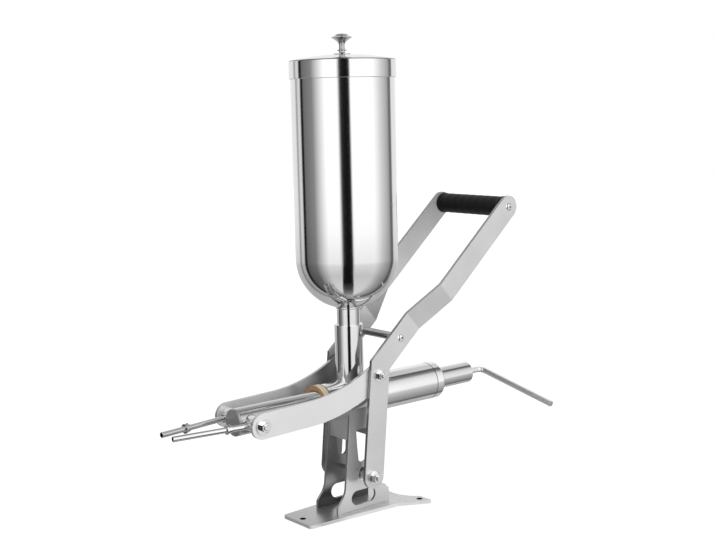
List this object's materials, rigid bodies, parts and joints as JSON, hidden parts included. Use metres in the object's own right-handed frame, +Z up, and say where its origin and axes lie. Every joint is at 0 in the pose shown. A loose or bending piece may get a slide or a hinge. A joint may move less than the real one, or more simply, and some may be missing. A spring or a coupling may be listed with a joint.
{
  "type": "pastry filling machine",
  "caption": "Hand-lever pastry filler: tall lidded hopper over a horizontal pump barrel, plunger with two parallel filling nozzles, dose adjuster with hexagon key, sheet-metal stand.",
  "frame": {"origin": "underside of the base plate, under the hopper's axis", "axes": "+Z up, the nozzles point to -Y, +X is the operator's side in the picture, on which the key's long leg points"},
  "size_m": [0.2313, 0.593, 0.702],
  "materials": {
    "base_steel": "fine brushed sheet",
    "plate_steel": "fine brushed sheet",
    "fastener_steel": "bright turned",
    "barrel_steel": "polished tube",
    "pipe_steel": "polished tube",
    "liner_nylon": "turned nylon",
    "liner_seal_rubber": "matt",
    "cap_seal_rubber": "matt",
    "seal_rubber": "satin",
    "cap_steel": "turned",
    "housing_steel": "turned",
    "screw_steel": "plain",
    "bronze": "sintered",
    "key_steel": "drawn",
    "plunger_steel": "ground and polished",
    "end_cap_grey": "dark satin",
    "manifold_steel": "turned",
    "shim_nylon": "natural",
    "nozzle_steel": "polished tube",
    "collar_steel": "turned",
    "arm_steel": "fine brushed sheet",
    "lever_steel": "fine brushed sheet",
    "rod_steel": "drawn bar",
    "grip_rubber": "satin moulded",
    "hopper_steel": "mirror polished sheet",
    "lid_steel": "mirror polished sheet",
    "knob_chrome": "mirror"
  },
  "bodies": {
    "base": {"base_plate": "base_steel", "right_side_plate": "plate_steel", "left_side_plate": "plate_steel", "front_web": "plate_steel", "rear_web": "plate_steel", "fulcrum_axle": "fastener_steel", "fulcrum_inner_washers": "fastener_steel", "fulcrum_inner_nuts": "fastener_steel", "fulcrum_spacers": "fastener_steel", "fulcrum_outer_washers": "fastener_steel", "fulcrum_outer_nuts": "fastener_steel", "barrel": "barrel_steel", "feed_socket": "pipe_steel", "cylinder_liner": "liner_nylon", "liner_seal": "liner_seal_rubber", "rear_cap": "cap_steel", "rear_cap_seal": "cap_seal_rubber", "guide_pin": "screw_steel", "adjuster_housing": "housing_steel", "thrust_washers": "bronze", "hopper_seal": "seal_rubber"},
    "lever": {"right_lever_arm": "lever_steel", "left_lever_arm": "lever_steel", "cross_rod": "rod_steel", "cross_rod_screws": "fastener_steel", "handle_bar": "rod_steel", "handle_grip": "grip_rubber", "handle_screws": "fastener_steel", "rear_pivot_bolts": "fastener_steel", "rear_pivot_shims": "shim_nylon", "rear_pivot_washers": "fastener_steel", "rear_pivot_nuts": "fastener_steel"},
    "links": {"right_connecting_arm": "arm_steel", "left_connecting_arm": "arm_steel"},
    "plunger": {"plunger_tube": "plunger_steel", "plunger_seals": "seal_rubber", "plunger_end_cap": "end_cap_grey", "cross_manifold": "manifold_steel", "front_pivot_studs": "fastener_steel", "front_pivot_shims": "shim_nylon", "front_pivot_washers": "fastener_steel", "front_pivot_nuts": "fastener_steel", "nozzle_sockets": "manifold_steel", "right_nozzle": "nozzle_steel", "left_nozzle": "nozzle_steel"},
    "right_collar": {"right_stop_collar": "collar_steel", "right_collar_screw": "screw_steel"},
    "left_collar": {"left_stop_collar": "collar_steel", "left_collar_screw": "screw_steel"},
    "adjuster": {"adjuster_screw": "screw_steel"},
    "key": {"adjuster_key": "key_steel"},
    "dosing": {"dosing_piston": "plunger_steel", "dosing_seals": "seal_rubber"},
    "hopper_body": {"hopper_shell": "hopper_steel", "hopper_bowl": "hopper_steel", "hopper_spigot": "hopper_steel"},
    "lid_body": {"hopper_lid": "lid_steel", "lid_knob": "knob_chrome", "lid_knob_washer": "fastener_steel", "lid_knob_screw": "fastener_steel"}
  },
  "joints": [
    {"name": "lever_swing", "type": "hinge", "parent": "base", "child": "lever", "pos_m": [0, 0, 0.059], "axis": [-1, 0, 0], "range_deg": [0, 25]},
    {"name": "plunger_slide", "type": "slide", "parent": "base", "child": "plunger", "axis": [0, 1, 0], "range_m": [0, 0.06]},
    {"name": "arm_pivot", "type": "hinge", "parent": "lever", "child": "links", "pos_m": [0, 0.015, 0.209], "axis": [1, 0, 0], "range_deg": [0, 20]},
    {"name": "right_collar_slide", "type": "slide", "parent": "plunger", "child": "right_collar", "axis": [-0.1392, -0.9903, 0], "range_m": [-0.022, 0.07]},
    {"name": "left_collar_slide", "type": "slide", "parent": "plunger", "child": "left_collar", "axis": [0.1392, -0.9903, 0], "range_m": [-0.06, 0.032]},
    {"name": "adjuster_turn", "type": "hinge", "parent": "base", "child": "adjuster", "pos_m": [0, 0.2, 0.17], "axis": [0, 1, 0], "range_deg": [0, 3240]},
    {"name": "dosing_piston_slide", "type": "slide", "parent": "base", "child": "dosing", "axis": [0, -1, 0], "range_m": [0, 0.0361]},
    {"name": "key_pull", "type": "slide", "parent": "adjuster", "child": "key", "axis": [0, 1, 0], "range_m": [0, 0.03]},
    {"name": "hopper_lift", "type": "slide", "parent": "base", "child": "hopper_body", "axis": [0, 0, 1], "range_m": [0, 0.1]},
    {"name": "lid_lift", "type": "slide", "parent": "hopper_body", "child": "lid_body", "axis": [0, 0, 1], "range_m": [0, 0.06]}
  ],
  "couplings": [
    {"joint": "plunger_slide", "follows": "lever_swing", "m_per_rad": 0.13744},
    {"joint": "arm_pivot", "follows": "lever_swing", "ratio": 0.79933},
    {"joint": "dosing_piston_slide", "follows": "adjuster_turn", "m_per_rad": 0.0006366}
  ]
}
